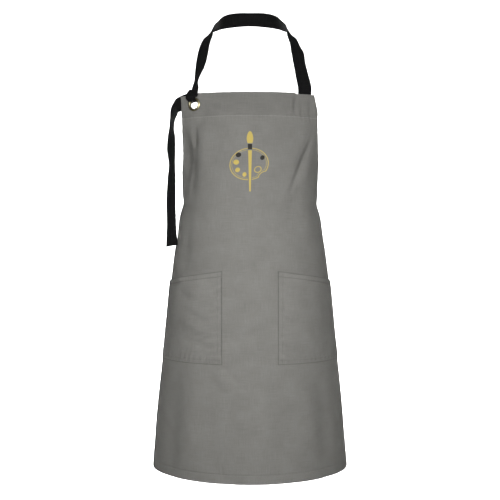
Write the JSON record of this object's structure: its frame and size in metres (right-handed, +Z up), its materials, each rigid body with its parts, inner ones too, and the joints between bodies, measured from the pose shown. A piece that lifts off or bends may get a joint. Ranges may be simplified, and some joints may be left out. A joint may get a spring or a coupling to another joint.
{
  "type": "artist bib apron",
  "caption": "Heavy canvas bib apron in its worn shape, with a neck strap adjusted through a brass eyelet, side patch pockets and waist ties tied in a bow.",
  "frame": {"origin": "where the neck strap's inner face rests on the back of the neck, on the centre line", "axes": "+Z up, -Y the way the wearer faces, +X to the right of somebody who faces the wearer"},
  "size_m": [0.4618, 0.2816, 1.062],
  "materials": {
    "canvas": "mid grey cotton canvas, plain weave, matt",
    "webbing": "black cotton webbing, woven, matt",
    "brass": "aged brass, satin",
    "label": "off-white woven tape, blank"
  },
  "bodies": {
    "neck_loop": {"neck_strap": "webbing"},
    "apron": {"front_panel": "canvas", "bib_top_facing": "canvas", "left_armhole_binding": "canvas", "right_armhole_binding": "canvas", "left_side_hem": "canvas", "right_side_hem": "canvas", "bottom_hem": "canvas", "left_pocket": "canvas", "right_pocket": "canvas", "left_pocket_hem": "canvas", "right_pocket_hem": "canvas", "eyelet_face": "brass", "eyelet_washer": "brass", "strap_sewn_end": "webbing", "strap_wrap": "webbing", "left_tie": "webbing", "right_tie": "webbing", "tie_knot": "webbing", "left_bow_loop": "webbing", "right_bow_loop": "webbing", "care_label": "label"},
    "free_strap_end": {"strap_tail": "webbing"},
    "left_tie_end": {"left_tie_tail": "webbing"},
    "right_tie_end": {"right_tie_tail": "webbing"}
  },
  "joints": [
    {"name": "bib_swing", "type": "hinge", "parent": "neck_loop", "child": "apron", "pos_m": [0, -0.0965, -0.1845], "axis": [-1, 0, 0], "range_deg": [-20, 50]},
    {"name": "strap_tail_swing", "type": "hinge", "parent": "apron", "child": "free_strap_end", "pos_m": [-0.171, -0.082, -0.236], "axis": [0.45, 0.893, 0], "range_deg": [0, 80]},
    {"name": "left_tie_swing", "type": "hinge", "parent": "apron", "child": "left_tie_end", "pos_m": [-0.018, 0.108, -0.472], "axis": [1, 0, 0], "range_deg": [-5, 70]},
    {"name": "right_tie_swing", "type": "hinge", "parent": "apron", "child": "right_tie_end", "pos_m": [0.018, 0.108, -0.472], "axis": [1, 0, 0], "range_deg": [-5, 70]}
  ]
}
